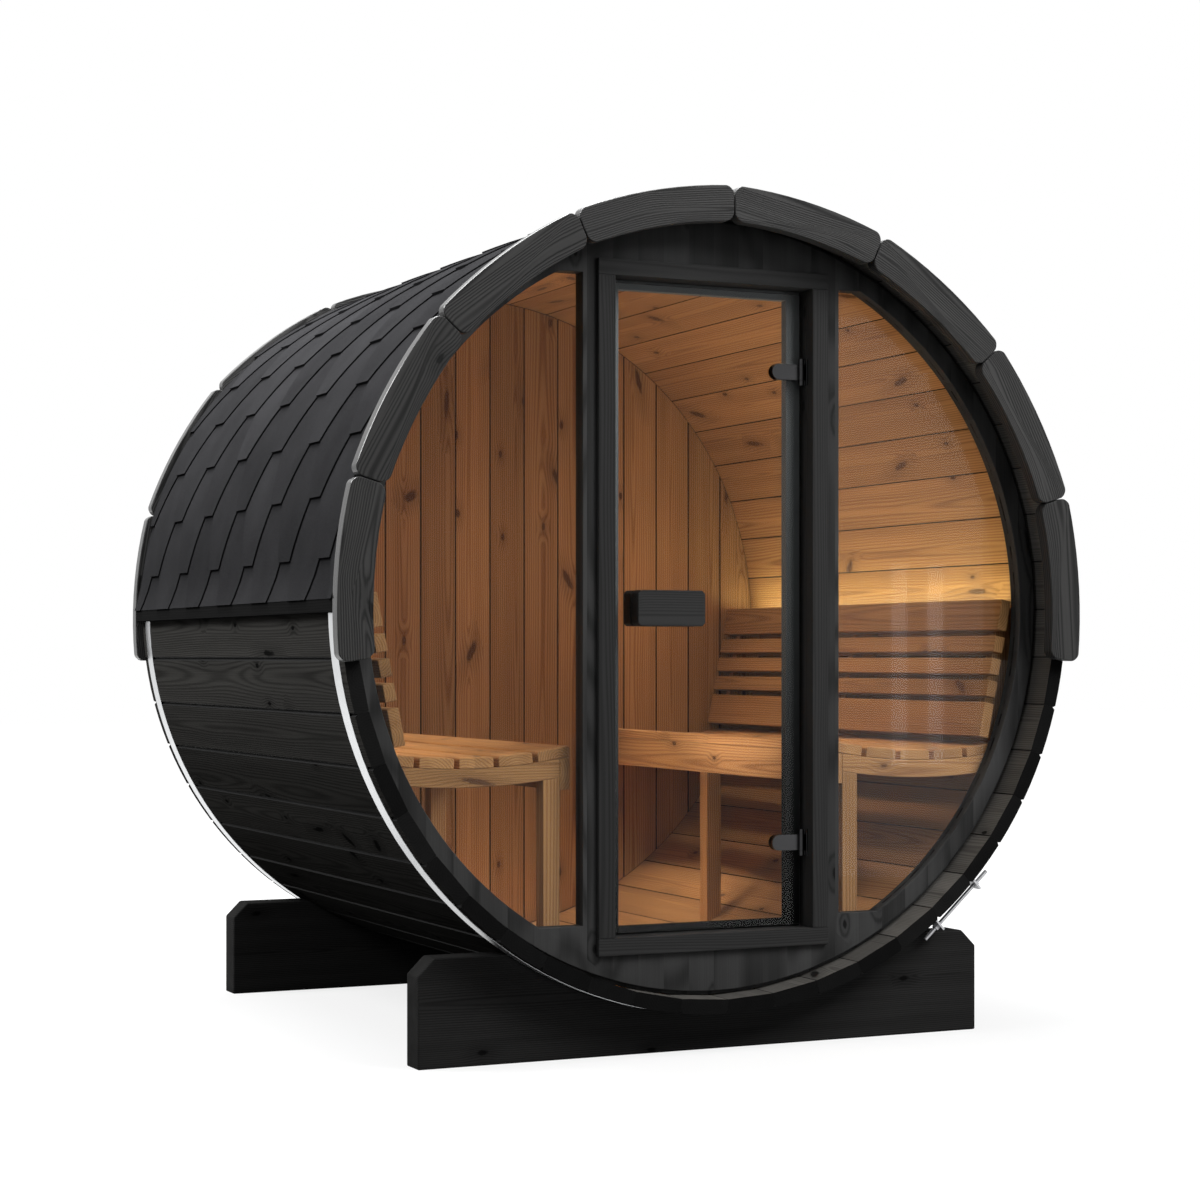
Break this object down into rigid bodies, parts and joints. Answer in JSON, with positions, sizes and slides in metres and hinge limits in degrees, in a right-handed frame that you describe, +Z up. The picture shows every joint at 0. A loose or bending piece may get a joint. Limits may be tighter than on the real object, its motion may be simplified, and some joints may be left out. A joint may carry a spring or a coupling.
{
  "type": "barrel sauna",
  "caption": "Barrel sauna: a lying barrel of staves on cradles, with a shingled top, steel bands, a glazed front wall with a swinging glass door, a boarded rear wall and slatted benches.",
  "frame": {"origin": "on the ground, under the middle of the barrel's length and width", "axes": "+Z up, -Y out of the door, +X to the right when facing the door"},
  "size_m": [2.0698, 1.826, 2.1428],
  "materials": {
    "black_wood": "black stained softwood",
    "stave_wood": "softwood, black stained outside and natural inside",
    "cradle_wood": "black stained timber",
    "natural_wood": "heat treated softwood, oiled",
    "handle_wood": "black stained block",
    "band_steel": "bright strip",
    "hinge_metal": "satin black",
    "shingle": "granulated bitumen felt",
    "glass": "clear toughened glass",
    "light": "frosted light strip"
  },
  "bodies": {
    "cabin": {"front_cradle": "cradle_wood", "rear_cradle": "cradle_wood", "right_staves": "stave_wood", "top_staves": "stave_wood", "left_staves": "stave_wood", "bottom_staves": "stave_wood", "front_trim": "black_wood", "rear_trim": "black_wood", "front_band": "band_steel", "rear_band": "band_steel", "front_tensioner": "band_steel", "rear_tensioner": "band_steel", "right_shingles": "shingle", "left_shingles": "shingle", "ridge_cap": "shingle", "right_eaves": "black_wood", "left_eaves": "black_wood", "right_post": "black_wood", "left_post": "black_wood", "header_panel": "black_wood", "sill_panel": "black_wood", "right_window_frame": "black_wood", "left_window_frame": "black_wood", "right_window_glass": "glass", "left_window_glass": "glass", "right_jamb": "black_wood", "left_jamb": "black_wood", "door_head": "black_wood", "door_rail": "black_wood", "door_stops": "black_wood", "rear_wall": "stave_wood", "right_bench_slats": "natural_wood", "left_bench_slats": "natural_wood", "right_bench_frame": "natural_wood", "left_bench_frame": "natural_wood", "right_backrest": "natural_wood", "left_backrest": "natural_wood", "right_uprights": "natural_wood", "left_uprights": "natural_wood", "light_strips": "light", "hinge_bases": "hinge_metal"},
    "door": {"door_glass": "glass", "door_handle": "handle_wood", "hinge_leaves": "hinge_metal"}
  },
  "joints": [
    {"name": "door_hinge", "type": "hinge", "parent": "cabin", "child": "door", "pos_m": [0.2645, -0.7765, 0], "axis": [0, 0, 1], "range_deg": [0, 90]}
  ]
}
